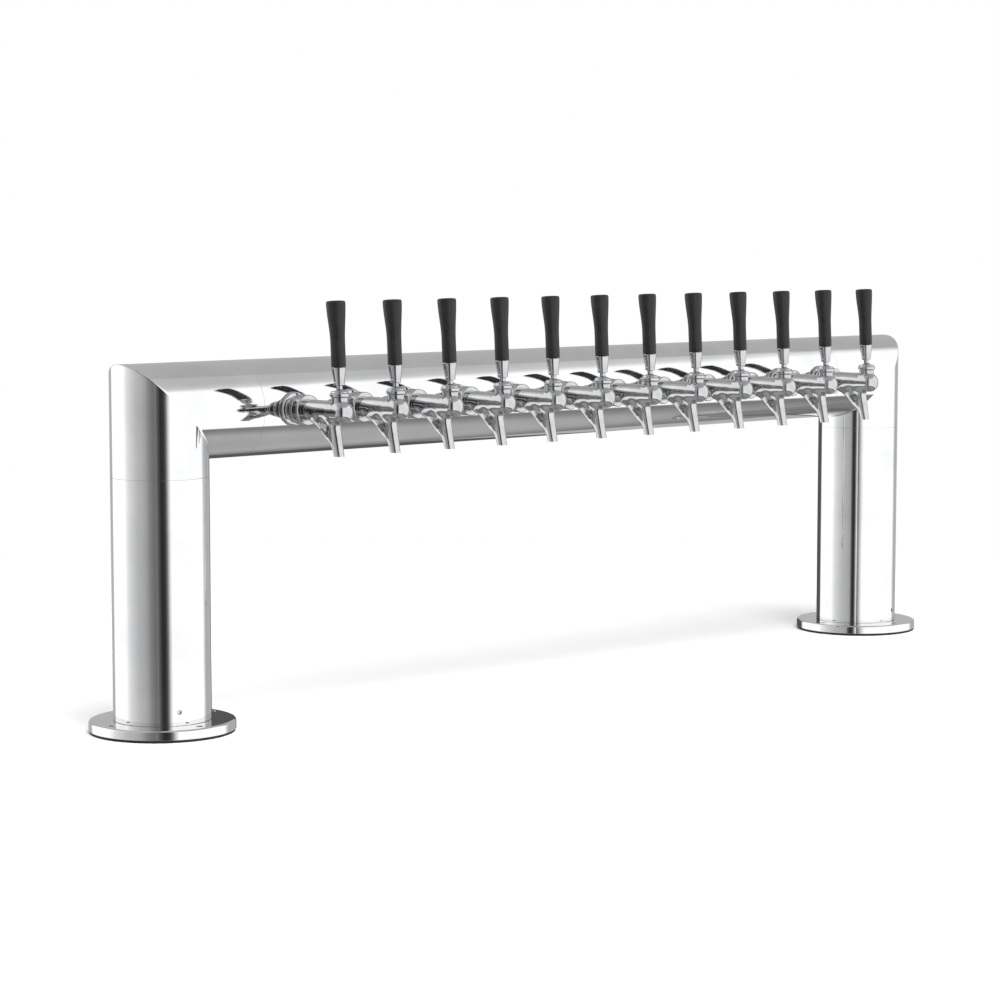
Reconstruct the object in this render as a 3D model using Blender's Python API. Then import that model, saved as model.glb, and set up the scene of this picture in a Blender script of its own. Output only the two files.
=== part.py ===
"""Pass-through beer tap tower: two round columns carry a horizontal tube with twelve taps.

Frame: metres, +Z up. The origin is on the counter, midway between the two columns and midway
between the front of the taps and the back of the base flanges. +X runs along the crossbar, and
the taps point towards -Y, where the glass is held. Each tap is drawn in its own frame, with the
same directions, whose origin is on the shank's axis straight below the lever's pivot.
"""

import math

import bmesh
import bpy
from mathutils import Matrix, Vector

MM = 0.001

# Driving dimensions of the tower, in millimetres.
TUBE_R = 50.8
WALL = 1.6
HEIGHT = 381.0
COLUMN_SPACING = 1110.0
COLUMN_LEG = 66.0
BAR_LEG = 98.0
JOINT_GAP = 0.3
SPIGOT_LENGTH = 14.0
SPIGOT_WALL = 2.0
FLANGE_R = 76.2
FLANGE_THICK = 10.0
FLANGE_COLLAR = 34.0
LINE_OPENING_R = 38.0
GASKET_THICK = 2.5
GASKET_INSET = 1.2
MOUNT_HOLE_R = 3.5
MOUNT_CIRCLE_R = 64.0
SET_SCREW_R = 2.5
SET_SCREW_RISE = 14.0
SET_SCREW_ANGLE = 16.0

# Driving dimensions of the taps.
TAP_COUNT = 12
TAP_PITCH = 76.2
TAP_REACH = 126.0
TAP_NOSE = 15.0
SHANK_R = 10.6
SHANK_HOLE_R = 11.8
PIVOT_RISE = 18.0
ARM_LENGTH = 17.5
SEAT_BACK = 48.0
NUT_FRONT = 50.0
NUT_BACK = 64.0
TAIL_END = 60.0
CHAMBER_R = 8.0
SPOUT_LEAN = 13.0
SPOUT_ROOT = (12.5, 2.0)
SPOUT_DROP = 45.5
REST_LEAN = 3.0
HANDLE_TOP = 96.5
FERRULE_FOOT = 9.6
FERRULE_TOP = 28.0

# Values that follow from the driving dimensions.
BAR_Z = HEIGHT - TUBE_R
BORE_R = TUBE_R - WALL
FLANGE_BOTTOM = GASKET_THICK + JOINT_GAP
FLANGE_TOP = FLANGE_BOTTOM + FLANGE_THICK
COLUMN_BOTTOM = FLANGE_TOP + JOINT_GAP
SEAM_Z = BAR_Z - COLUMN_LEG
COLUMN_X = COLUMN_SPACING / 2
BAR_Y = (TAP_REACH + TAP_NOSE - FLANGE_R) / 2
TAP_Y = BAR_Y - TAP_REACH
BAR_HALF = COLUMN_X - BAR_LEG
TAP_XS = [(i - (TAP_COUNT - 1) / 2) * TAP_PITCH for i in range(TAP_COUNT)]
WALL_Y = TAP_REACH - TUBE_R
TIP_Y = -ARM_LENGTH * math.sin(math.radians(REST_LEAN))
SIDES = (("left", -1), ("right", 1))

# How far a cutter runs past the wall that it cuts.
DRILL_ROOM = 5.0

# Facets round a full turn.
TUBE_STEPS = 32
TAP_STEPS = 8
SMALL_STEPS = 8
BORE_STEPS = 6


def clear_scene():
    for old in list(bpy.data.objects):
        bpy.data.objects.remove(old)


def material(name, colour, roughness, metallic):
    made = bpy.data.materials.new(name)
    made.use_nodes = True
    shader = made.node_tree.nodes["Principled BSDF"]
    shader.inputs["Base Color"].default_value = (*colour, 1.0)
    shader.inputs["Roughness"].default_value = roughness
    shader.inputs["Metallic"].default_value = metallic
    made.diffuse_color = (*colour, 1.0)
    return made


def add_object(name, mesh, finish, location=(0, 0, 0), parent=None):
    """One named sub-part, placed in millimetres."""
    if finish and not mesh.materials:
        mesh.materials.append(finish)
    made = bpy.data.objects.new(name, mesh)
    bpy.context.scene.collection.objects.link(made)
    made.location = Vector(location) * MM
    made.parent = parent
    return made


def mesh_from(bm, name):
    bmesh.ops.remove_doubles(bm, verts=bm.verts, dist=1e-7)
    bmesh.ops.recalc_face_normals(bm, faces=bm.faces)
    mesh = bpy.data.meshes.new(name)
    bm.to_mesh(mesh)
    bm.free()
    mesh.shade_smooth()
    mesh.set_sharp_from_angle(angle=math.radians(35))
    return mesh


def turned(outline, steps, axis="Z", at=(0, 0, 0), loop=False):
    """A bmesh turned from (distance along the axis, radius) points, which end on the axis or form a loop."""
    bm = bmesh.new()
    rings = []
    for along, radius in outline:
        if radius == 0:
            rings.append([bm.verts.new((0, 0, along))])
            continue
        turns = [2 * math.pi * k / steps for k in range(steps)]
        rings.append([bm.verts.new((radius * math.cos(t), radius * math.sin(t), along)) for t in turns])
    pairs = list(zip(rings, rings[1:]))
    if loop:
        pairs.append((rings[-1], rings[0]))
    for low, high in pairs:
        for k in range(steps):
            n = (k + 1) % steps
            corners = [low[k % len(low)], low[n % len(low)], high[n % len(high)], high[k % len(high)]]
            bm.faces.new(list(dict.fromkeys(corners)))
    turn = {
        "Z": Matrix.Identity(4),
        "Y": Matrix.Rotation(-math.pi / 2, 4, "X"),
        "X": Matrix.Rotation(math.pi / 2, 4, "Y"),
    }[axis]
    bm.transform(Matrix.Scale(MM, 4) @ Matrix.Translation(Vector(at)) @ turn)
    return bm


def prism(corners, half_width):
    """A bmesh from a (y, z) outline, thickened along X to both sides."""
    bm = bmesh.new()
    ends = [[bm.verts.new((x * MM, y * MM, z * MM)) for y, z in corners] for x in (-half_width, half_width)]
    count = len(corners)
    for end in ends:
        bm.faces.new(end)
    for k in range(count):
        bm.faces.new([ends[0][k], ends[0][(k + 1) % count], ends[1][(k + 1) % count], ends[1][k]])
    return bm


def merged(parts):
    """Several bmeshes in one, for a cutter or a union with many separate shells."""
    whole = bmesh.new()
    for part in parts:
        scratch = bpy.data.meshes.new("scratch")
        part.to_mesh(scratch)
        part.free()
        whole.from_mesh(scratch)
        bpy.data.meshes.remove(scratch)
    return whole


def combined(name, base, steps):
    """The mesh of base after a run of ("UNION" or "DIFFERENCE", bmesh) steps."""
    host = add_object(name + "_blank", mesh_from(base, name + "_blank"), None)
    helpers = [host]
    for number, (operation, bm) in enumerate(steps):
        tool = add_object(f"{name}_tool_{number}", mesh_from(bm, f"{name}_tool_{number}"), None)
        helpers.append(tool)
        cut = host.modifiers.new(operation, "BOOLEAN")
        cut.operation = operation
        cut.solver = "EXACT"
        cut.object = tool
    bpy.context.view_layer.update()
    graph = bpy.context.evaluated_depsgraph_get()
    mesh = bpy.data.meshes.new_from_object(host.evaluated_get(graph))
    mesh.name = name
    for helper in helpers:
        bpy.data.objects.remove(helper)
    mesh.shade_smooth()
    mesh.set_sharp_from_angle(angle=math.radians(35))
    return mesh


def tube_outline(start, end, outer, inner):
    return [(start, outer), (end, outer), (end, inner), (start, inner)]


def rod_outline(start, end, radius):
    return [(start, 0), (start, radius), (end, radius), (end, 0)]


# ---- Tower shell ------------------------------------------------------------------------------


def crossbar(finish):
    """The straight tube between the elbows, with a round hole for each shank in its front."""
    middle = (0, BAR_Y, BAR_Z)
    tube = turned(tube_outline(-BAR_HALF, BAR_HALF, TUBE_R, BORE_R), TUBE_STEPS, "X", middle, loop=True)
    drill = rod_outline(-TUBE_R - DRILL_ROOM, -BORE_R / 2, SHANK_HOLE_R)
    holes = merged([turned(drill, TAP_STEPS, "Y", (x, BAR_Y, BAR_Z)) for x in TAP_XS])
    return add_object("crossbar_tube", combined("crossbar_tube", tube, [("DIFFERENCE", holes)]), finish)


def elbow(name, side, finish):
    """The mitred corner: an upright and a level leg that meet on a 45 degree cut at the column's axis.

    Each leg ends in a spigot that the next tube slides over.
    """
    spigot_r = BORE_R - JOINT_GAP
    inner_r = spigot_r - SPIGOT_WALL

    def leg_sections(way, leg):
        end, reach = leg - JOINT_GAP, leg + SPIGOT_LENGTH
        return [(way, end, TUBE_R), (way, end, spigot_r), (way, reach, spigot_r), (way, reach, inner_r)]

    sections = [("mitre", 0, TUBE_R)] + leg_sections("upright", COLUMN_LEG)
    sections += [("mitre", 0, inner_r)] + leg_sections("level", BAR_LEG)[::-1]
    bm = bmesh.new()
    rings = []
    for way, along, radius in sections:
        ring = []
        for k in range(TUBE_STEPS):
            turn = 2 * math.pi * k / TUBE_STEPS
            across, depth = radius * math.cos(turn), radius * math.sin(turn)
            inward = along if way == "level" else across
            down = along if way == "upright" else across
            ring.append(bm.verts.new((inward, depth, -down)))
        rings.append(ring)
    for low, high in zip(rings, rings[1:] + rings[:1]):
        for k in range(TUBE_STEPS):
            n = (k + 1) % TUBE_STEPS
            bm.faces.new([low[k], low[n], high[n], high[k]])
    place = Matrix.Translation(Vector((side * COLUMN_X, BAR_Y, BAR_Z)) * MM)
    bm.transform(place @ Matrix.Diagonal((-side * MM, MM, MM, 1)))
    return add_object(name, mesh_from(bm, name), finish)


def column(name, side, finish):
    """The lower tube, with the hole of the set screw that locks it to the flange's collar."""
    tube = turned(tube_outline(COLUMN_BOTTOM, SEAM_Z, TUBE_R, BORE_R), TUBE_STEPS, loop=True)
    drill = rod_outline(-TUBE_R - DRILL_ROOM, -BORE_R + DRILL_ROOM, SET_SCREW_R)
    hole = turned(drill, SMALL_STEPS, "Y")
    hole.transform(Matrix.Rotation(side * math.radians(SET_SCREW_ANGLE), 4, "Z"))
    hole.transform(Matrix.Translation((0, 0, (FLANGE_TOP + SET_SCREW_RISE) * MM)))
    mesh = combined(name, tube, [("DIFFERENCE", hole)])
    return add_object(name, mesh, finish, (side * COLUMN_X, BAR_Y, 0))


def mount_holes():
    """Four cutters on the bolt circle, through the gasket and the flange."""
    drill = rod_outline(-DRILL_ROOM, FLANGE_TOP + DRILL_ROOM, MOUNT_HOLE_R)
    drills = []
    for k in range(4):
        turn = math.pi / 2 * k
        place = (MOUNT_CIRCLE_R * math.cos(turn), MOUNT_CIRCLE_R * math.sin(turn), 0)
        drills.append(turned(drill, SMALL_STEPS, "Z", place))
    return merged(drills)


def flange(name, side, finish):
    """The base plate: rounded rim, four mounting holes, and a raised collar inside the column."""
    rim, collar_wall, throat = 3.0, 3.2, 2.0
    collar_r = BORE_R - JOINT_GAP
    outline = [(FLANGE_BOTTOM, FLANGE_R)]
    for turn in (0, math.pi / 4, math.pi / 2):
        outline.append((FLANGE_TOP - rim + rim * math.sin(turn), FLANGE_R - rim + rim * math.cos(turn)))
    outline += tube_outline(FLANGE_TOP, FLANGE_TOP + FLANGE_COLLAR, collar_r, collar_r - collar_wall)
    outline += [(FLANGE_TOP - throat, LINE_OPENING_R), (FLANGE_BOTTOM, LINE_OPENING_R)]
    plate = turned(outline, TUBE_STEPS, loop=True)
    mesh = combined(name, plate, [("DIFFERENCE", mount_holes())])
    return add_object(name, mesh, finish, (side * COLUMN_X, BAR_Y, 0))


def gasket(name, side, finish):
    """The flat rubber ring between the flange and the counter."""
    outline = tube_outline(0, GASKET_THICK, FLANGE_R - GASKET_INSET, LINE_OPENING_R)
    ring = turned(outline, TUBE_STEPS, loop=True)
    mesh = combined(name, ring, [("DIFFERENCE", mount_holes())])
    return add_object(name, mesh, finish, (side * COLUMN_X, BAR_Y, 0))


# ---- Inside the tower -------------------------------------------------------------------------


def shank_rail(finish):
    """Twelve shanks with their coupling nuts, wall plates and lock nuts, set in the cooling rail."""
    nut_r, nut_bore_r, plate_r, lock_r, pipe_r, fluid_r = 16.0, 11.3, 18.0, 14.5, 7.0, 3.6
    seal_travel, overlap, rail_end = 7.0, 3.0, 16.0
    shank_front = TAIL_END + JOINT_GAP
    seal_room = shank_front + seal_travel
    plate_front, plate_back = WALL_Y - 5.5, WALL_Y - JOINT_GAP
    lock_front, lock_back = WALL_Y + 4.8, WALL_Y + 12.0
    rail_front, rail_back, rail_half = TAP_REACH - 31.0, TAP_REACH - 14.0, 12.0
    pipe_end = TAP_REACH - 6.0
    outline = [
        (seal_room, 0),
        (seal_room, CHAMBER_R),
        (shank_front, CHAMBER_R),
        (shank_front, nut_bore_r),
        (NUT_FRONT, nut_bore_r),
        (NUT_FRONT, nut_r),
        (NUT_BACK, nut_r),
        (NUT_BACK, SHANK_R),
        (plate_front, SHANK_R),
        (plate_front, plate_r),
        (plate_back, plate_r),
        (plate_back, SHANK_R),
        (lock_front, SHANK_R),
        (lock_front, lock_r),
        (lock_back, lock_r),
        (lock_back, pipe_r),
        (pipe_end, pipe_r),
        (pipe_end, 0),
    ]
    bore = rod_outline(seal_room - overlap, pipe_end + overlap, fluid_r)
    places = [(x, TAP_Y, BAR_Z) for x in TAP_XS]
    shanks = merged([turned(outline, TAP_STEPS, "Y", place) for place in places])
    bores = merged([turned(bore, BORE_STEPS, "Y", place) for place in places])
    corners = [(rail_front, -1), (rail_back, -1), (rail_back, 1), (rail_front, 1)]
    corners = [(TAP_Y + y, BAR_Z + end * rail_half) for y, end in corners]
    steps = [("UNION", prism(corners, TAP_XS[-1] + rail_end)), ("DIFFERENCE", bores)]
    return add_object("shank_rail", combined("shank_rail", shanks, steps), finish)


def line_trunk(name, side, finish):
    """The insulated bundle of beer and coolant lines, up one column and along the rear of the bar."""
    radius, bend, bend_steps, behind, gap = 19.0, 46.0, 4, 17.0, 8.0
    path = [(side * COLUMN_X, FLANGE_BOTTOM)]
    for k in range(bend_steps + 1):
        turn = math.pi / 2 * k / bend_steps
        inward = bend * (1 - math.cos(turn))
        path.append((side * (COLUMN_X - inward), BAR_Z - bend + bend * math.sin(turn)))
    path.append((side * gap, BAR_Z))
    curve = bpy.data.curves.new(name, "CURVE")
    curve.dimensions = "3D"
    curve.bevel_depth = radius * MM
    curve.bevel_resolution = 1
    curve.use_fill_caps = True
    line = curve.splines.new("POLY")
    line.points.add(len(path) - 1)
    for point, (x, z) in zip(line.points, path):
        point.co = (x * MM, (BAR_Y + behind) * MM, z * MM, 1)
    return add_object(name, curve, finish)


# ---- One tap ----------------------------------------------------------------------------------


def tap_body_mesh():
    """Barrel, bonnet and spout in one casting, bored for the valve shaft, the lever's ball and the beer.

    Behind the spout a slanted neck runs up to the barrel, in front of the valve seat.
    """
    barrel_r, tail_r, dome = 12.0, 10.5, 8.0
    seat_front, bore_front = SEAT_BACK - 1.6, -7.8
    guide_r, seat_r, ball_pocket_r = 6.6, 4.8, 7.7
    shoulder = NUT_FRONT - 1.0
    outline = [(-TAP_NOSE, 0)]
    for turn in (math.pi / 6, math.pi / 3, math.pi / 2):
        outline.append((dome * (1 - math.cos(turn)) - TAP_NOSE, barrel_r * math.sin(turn)))
    outline += [(shoulder, barrel_r), (shoulder, tail_r), (TAIL_END, tail_r), (TAIL_END, 0)]
    barrel = turned(outline, TAP_STEPS, "Y")

    boss_r, ring_r, rim_r = 9.4, 10.6, 8.8
    bonnet = turned(
        [(2, 0), (2, boss_r), (14, boss_r), (16, ring_r), (19.5, ring_r), (22, rim_r), (22, 0)], TAP_STEPS
    )
    spout = turned([(0, 0), (0, 8.2), (-24, 7.0), (-54, 5.6), (-54, 0)], SMALL_STEPS)
    spout_bore = turned(rod_outline(-60, 2, 4.0), BORE_STEPS)
    for piece in (spout, spout_bore):
        piece.transform(Matrix.Rotation(-math.radians(SPOUT_LEAN), 4, "X"))
        piece.transform(Matrix.Translation(Vector((0, *SPOUT_ROOT)) * MM))
    neck_y, neck_z, neck_lean, neck_length = 33.0, -6.0, 41.5, 34.0
    neck = turned([(0, 0), (0, 8.0), (-neck_length, 5.0), (-neck_length, 0)], SMALL_STEPS)
    neck.transform(Matrix.Rotation(-math.radians(neck_lean), 4, "X"))
    neck.transform(Matrix.Translation(Vector((0, neck_y, neck_z)) * MM))
    below_spout = prism([(-40, -SPOUT_DROP), (40, -SPOUT_DROP), (40, -80), (-40, -80)], 20)

    bore_outline = rod_outline(bore_front, seat_front, guide_r)[:3]
    bore_outline += rod_outline(seat_front, SEAT_BACK, seat_r)[1:3]
    bore_outline += rod_outline(SEAT_BACK, TAIL_END + DRILL_ROOM, CHAMBER_R)[1:]
    bore = turned(bore_outline, SMALL_STEPS, "Y")
    turns = [math.pi / 4 * k for k in range(1, 4)]
    ball_outline = [(-ball_pocket_r * math.cos(turn), ball_pocket_r * math.sin(turn)) for turn in turns]
    ball_outline = [(-ball_pocket_r, 0), *ball_outline, (ball_pocket_r, 0)]
    ball_pocket = turned(ball_outline, TAP_STEPS, "Z", (0, 0, PIVOT_RISE))
    arm_slot = prism([(-3.2, 4.4), (12.6, 4.4), (6.6, 13.0), (-3.2, 13.0)], 2.7)
    mouth_low, mouth_high = PIVOT_RISE + 1, PIVOT_RISE + 9
    mouth = prism([(-7.6, mouth_low), (4.4, mouth_low), (4.4, mouth_high), (-7.6, mouth_high)], 3.9)

    steps = [("UNION", bonnet), ("UNION", spout), ("UNION", neck)]
    cuts = (bore, spout_bore, ball_pocket, arm_slot, mouth, below_spout)
    steps += [("DIFFERENCE", cut) for cut in cuts]
    return combined("tap_body", barrel, steps)


def lever_mesh():
    """Tip, arm, pivot ball, stem, ferrule and stud, turned about the lever's own axis from the pivot."""
    ball_r, tip_r, arm_r, stem_r, stud_r, stud_length = 6.5, 2.5, 1.6, 3.2, 4.0, 13.0
    diagonal = math.sqrt(0.5)
    outline = [
        (-ARM_LENGTH - tip_r, 0),
        (-ARM_LENGTH - tip_r * diagonal, tip_r * diagonal),
        (-ARM_LENGTH + tip_r * diagonal, tip_r * diagonal),
        (-ARM_LENGTH + tip_r, arm_r),
        (-ball_r, arm_r),
        (-ball_r * diagonal, ball_r * diagonal),
        (0, ball_r),
        (ball_r * diagonal, ball_r * diagonal),
        (ball_r, stem_r),
        (FERRULE_FOOT, stem_r),
        (FERRULE_FOOT, 5.6),
        (FERRULE_TOP, 7.6),
        (FERRULE_TOP, stud_r),
        (FERRULE_TOP + stud_length, stud_r),
        (FERRULE_TOP + stud_length, 0),
    ]
    return mesh_from(turned(outline, SMALL_STEPS), "lever")


def handle_mesh():
    """The tapered grip, with a blind hole for the lever's stud."""
    foot_r, head_r, hole_r, hole_depth, crown = 7.6, 10.2, 4.5, 15.0, 1.5
    low = FERRULE_TOP + JOINT_GAP
    length = HANDLE_TOP - crown - low
    outline = [(low + hole_depth, 0), (low + hole_depth, hole_r), (low, hole_r)]
    outline += [(low + share * length, foot_r + (head_r - foot_r) * share**2) for share in (0, 0.55, 1)]
    outline += [(HANDLE_TOP, head_r - crown), (HANDLE_TOP, 0)]
    return mesh_from(turned(outline, SMALL_STEPS), "handle")


def valve_shaft_mesh():
    """Seal, rod and a flat-topped head with the slot that the lever's tip works in."""
    head_front, head_back, head_r, head_top = -7.0, 5.5, 6.0, 4.8
    seal_front, seal_back, seal_r, rod_r = SEAT_BACK + JOINT_GAP, SEAT_BACK + 2.8, 7.0, 3.0
    half_slot, slot_floor, above = 2.9, -3.5, 9.0
    outline = rod_outline(head_front, head_back, head_r)[:3]
    outline += [(head_back, rod_r), (seal_front, rod_r)]
    outline += rod_outline(seal_front, seal_back, seal_r)[1:]
    shaft = turned(outline, SMALL_STEPS, "Y")
    front, back = TIP_Y - half_slot, TIP_Y + half_slot
    slot = prism([(front, slot_floor), (back, slot_floor), (back, above), (front, above)], half_slot)
    front, back = head_front - 1, head_back + 1
    flat = prism([(front, head_top), (back, head_top), (back, above), (front, above)], above)
    return combined("valve_shaft", shaft, [("DIFFERENCE", flat), ("DIFFERENCE", slot)])


def taps(chrome, steel, black):
    """Twelve copies of the tap, each lever and handle hung on an empty at its pivot."""
    body, lever, handle, shaft = tap_body_mesh(), lever_mesh(), handle_mesh(), valve_shaft_mesh()
    for number, x in enumerate(TAP_XS, start=1):
        tag = f"tap_{number:02d}"
        centre = (x, TAP_Y, BAR_Z)
        add_object(f"{tag}_body", body, chrome, centre)
        add_object(f"{tag}_valve_shaft", shaft, steel, centre)
        pivot = bpy.data.objects.new(f"{tag}_pivot", None)
        bpy.context.scene.collection.objects.link(pivot)
        pivot.location = Vector((x, TAP_Y, BAR_Z + PIVOT_RISE)) * MM
        pivot.rotation_euler = (-math.radians(REST_LEAN), 0, 0)
        add_object(f"{tag}_lever", lever, chrome, parent=pivot)
        add_object(f"{tag}_handle", handle, black, parent=pivot)


def build():
    clear_scene()
    polished = material("polished_stainless", (0.78, 0.78, 0.79), 0.08, 1.0)
    chrome = material("chrome_plate", (0.82, 0.83, 0.84), 0.06, 1.0)
    steel = material("machined_stainless", (0.62, 0.62, 0.63), 0.35, 1.0)
    black = material("black_plastic", (0.03, 0.03, 0.032), 0.45, 0.0)
    rubber = material("black_rubber", (0.02, 0.02, 0.02), 0.85, 0.0)
    foam = material("foam_jacket", (0.06, 0.06, 0.065), 0.95, 0.0)
    crossbar(polished)
    shank_rail(steel)
    for name, side in SIDES:
        elbow(f"{name}_elbow", side, polished)
        column(f"{name}_column", side, polished)
        flange(f"{name}_base_flange", side, polished)
        gasket(f"{name}_gasket", side, rubber)
        line_trunk(f"{name}_line_trunk", side, foam)
    taps(chrome, steel, black)
    bpy.context.view_layer.update()


build()
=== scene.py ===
"""Looks of the pass-through beer tap tower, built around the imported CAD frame.

Meshes are drawn in millimetres. A tower piece uses the frame's own axes. A tap piece uses the tap's
frame: its origin is on the shank's axis straight below the lever's pivot, and -Y is the front.
"""

import math

import bmesh
import bpy
import numpy as np
from mathutils import Matrix, Vector


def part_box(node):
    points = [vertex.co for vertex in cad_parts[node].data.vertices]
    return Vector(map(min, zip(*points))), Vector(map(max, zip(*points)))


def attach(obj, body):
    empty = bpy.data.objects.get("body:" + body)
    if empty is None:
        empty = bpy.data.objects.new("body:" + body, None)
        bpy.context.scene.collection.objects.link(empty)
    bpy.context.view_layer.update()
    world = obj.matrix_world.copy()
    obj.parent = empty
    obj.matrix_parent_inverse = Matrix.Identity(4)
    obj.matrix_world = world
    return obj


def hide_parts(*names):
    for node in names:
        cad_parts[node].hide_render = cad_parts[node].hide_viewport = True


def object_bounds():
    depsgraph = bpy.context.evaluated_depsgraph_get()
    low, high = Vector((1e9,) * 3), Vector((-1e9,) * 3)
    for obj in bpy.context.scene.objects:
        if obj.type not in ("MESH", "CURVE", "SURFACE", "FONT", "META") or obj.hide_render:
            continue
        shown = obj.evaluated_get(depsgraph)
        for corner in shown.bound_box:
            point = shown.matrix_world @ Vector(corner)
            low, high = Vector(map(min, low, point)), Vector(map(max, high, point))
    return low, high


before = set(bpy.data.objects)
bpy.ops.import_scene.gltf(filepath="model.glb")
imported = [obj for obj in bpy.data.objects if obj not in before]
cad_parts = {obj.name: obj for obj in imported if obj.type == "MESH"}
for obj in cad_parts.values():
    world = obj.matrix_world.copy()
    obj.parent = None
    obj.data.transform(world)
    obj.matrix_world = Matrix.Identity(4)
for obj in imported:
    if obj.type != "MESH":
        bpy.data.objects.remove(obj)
cad_lo, cad_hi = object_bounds()

MM = 0.001
SIDES = (("left", -1), ("right", 1))

# Facets round a full turn, for the tower's tubes, for a tap's pieces and for small details.
TUBE_STEPS = 192
TAP_STEPS = 64
SMALL_STEPS = 32
ARC_STEPS = 5

# How far a cutter runs past the wall that it cuts, and how far a holding ring sits from a fillet.
DRILL_ROOM = 5.0
HOLD = 0.4

# The camera, round the frame's origin, and the lens that frames the whole tower.
VIEW_AZIMUTH = -42.9
VIEW_PITCH = 5.49
VIEW_DISTANCE = 3.205
VIEW_TARGET = (-0.0779, 0.0324, 0.2088)
VIEW_LENS = 100.8


def box_mm(node):
    """The corners of a CAD node's box, in millimetres."""
    low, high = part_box(node)
    return low / MM, high / MM


def tower_sizes():
    """The tower's main dimensions and places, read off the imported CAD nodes."""
    low, high = box_mm("left_column")
    bar_low, bar_high = box_mm("crossbar_tube")
    elbow_low, _ = box_mm("left_elbow")
    flange_low, flange_high = box_mm("left_base_flange")
    gasket_low, gasket_high = box_mm("left_gasket")
    return {
        "tube_r": (high.x - low.x) / 2,
        "column_x": -(high.x + low.x) / 2,
        "bar_y": (high.y + low.y) / 2,
        "bar_z": (bar_high.z + bar_low.z) / 2,
        "bar_half": bar_high.x,
        "seam_z": high.z,
        "column_foot": low.z,
        "spigot_end": elbow_low.z,
        "flange_r": (flange_high.x - flange_low.x) / 2,
        "flange_low": flange_low.z,
        "collar_top": flange_high.z,
        "gasket_r": (gasket_high.x - gasket_low.x) / 2,
        "gasket_top": gasket_high.z,
    }


SIZES = tower_sizes()
TUBE_R = SIZES["tube_r"]
WALL = 1.6
BORE_R = TUBE_R - WALL
GAP = 0.3
SEAM_GAP = 0.1
EDGE = 0.15
BAR_Y = SIZES["bar_y"]
BAR_Z = SIZES["bar_z"]
COLUMN_X = SIZES["column_x"]
FLANGE_TOP = SIZES["column_foot"] - GAP

# Tap dimensions that the finer meshes share with the CAD.
TAP_NOSE = 15.0
PIVOT_RISE = 18.0
ARM_LENGTH = 17.5
REST_LEAN = math.radians(-3.0)
TAP_REACH = BAR_Y - (box_mm("tap_01_body")[0].y + TAP_NOSE)
SEAT_BACK = 48.0
NUT_FRONT, NUT_BACK = 50.0, 64.0
TAIL_END = 60.0
SPOUT_DROP = 45.5
SPOUT_LEAN = math.radians(13.0)
SPOUT_ROOT = (12.5, 2.0)
FERRULE_FOOT, FERRULE_TOP = 9.6, 28.0
HANDLE_TOP = 96.5


# ---- Mesh tools -------------------------------------------------------------------------------


def mesh_of(name, points, faces, sharp=35.0):
    """A smooth-shaded mesh from points in millimetres, faces turned outwards."""
    mesh = bpy.data.meshes.new(name)
    mesh.from_pydata([Vector(point) * MM for point in points], [], faces)
    bm = bmesh.new()
    bm.from_mesh(mesh)
    bmesh.ops.recalc_face_normals(bm, faces=bm.faces)
    bm.to_mesh(mesh)
    bm.free()
    mesh.shade_smooth()
    mesh.set_sharp_from_angle(angle=math.radians(sharp))
    return mesh


def filleted(corners, closed):
    """Outline points from (along, radius, fillet) corners; a corner without a fillet stays sharp."""
    points = []
    last = len(corners) - 1
    for number, corner in enumerate(corners):
        here = Vector(corner[:2])
        fillet = corner[2] if len(corner) > 2 else 0
        if fillet == 0 or (not closed and number in (0, last)):
            points.append(here)
            continue
        back = Vector(corners[number - 1][:2]) - here
        ahead = Vector(corners[(number + 1) % len(corners)][:2]) - here
        cut = min(fillet, 0.45 * back.length, 0.45 * ahead.length)
        start = here + back.normalized() * cut
        stop = here + ahead.normalized() * cut
        points.append(start + back.normalized() * min(HOLD, 0.04 * back.length))
        for step in range(ARC_STEPS + 1):
            t = step / ARC_STEPS
            points.append(start * (1 - t) ** 2 + here * 2 * t * (1 - t) + stop * t**2)
        points.append(stop + ahead.normalized() * min(HOLD, 0.04 * ahead.length))
    return points


def arc(centre, radius, start, stop, steps=10):
    """Outline points on a circle about a point of the axis; angles in degrees from the axis."""
    turns = [math.radians(start + (stop - start) * k / steps) for k in range(steps + 1)]
    return [(centre - radius * math.cos(t), max(radius * math.sin(t), 0.0)) for t in turns]


def rod_outline(start, stop, radius):
    """The outline of a plain round bar, for a drill or a blank."""
    return [(start, 0), (start, radius), (stop, radius), (stop, 0)]


def turned(name, corners, steps, axis="Z", closed=False, shift=None):
    """A mesh turned from outline corners. shift moves each point (x, y, z) of the finished shape."""
    points, rings = [], []
    for along, radius in filleted(corners, closed):
        count = 1 if radius < 1e-6 else steps
        rings.append([len(points) + k for k in range(count)])
        for k in range(count):
            turn = 2 * math.pi * k / steps
            points.append((radius * math.cos(turn), radius * math.sin(turn), along))
    faces = []
    pairs = list(zip(rings, rings[1:]))
    if closed:
        pairs.append((rings[-1], rings[0]))
    for low, high in pairs:
        for k in range(steps):
            n = (k + 1) % steps
            face = [low[k % len(low)], low[n % len(low)], high[n % len(high)], high[k % len(high)]]
            face = list(dict.fromkeys(face))
            if len(face) > 2:
                faces.append(face)
    if axis == "Y":
        points = [(x, z, -y) for x, y, z in points]
    if axis == "X":
        points = [(z, y, -x) for x, y, z in points]
    if shift:
        points = [shift(*point) for point in points]
    return mesh_of(name, points, faces)


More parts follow.
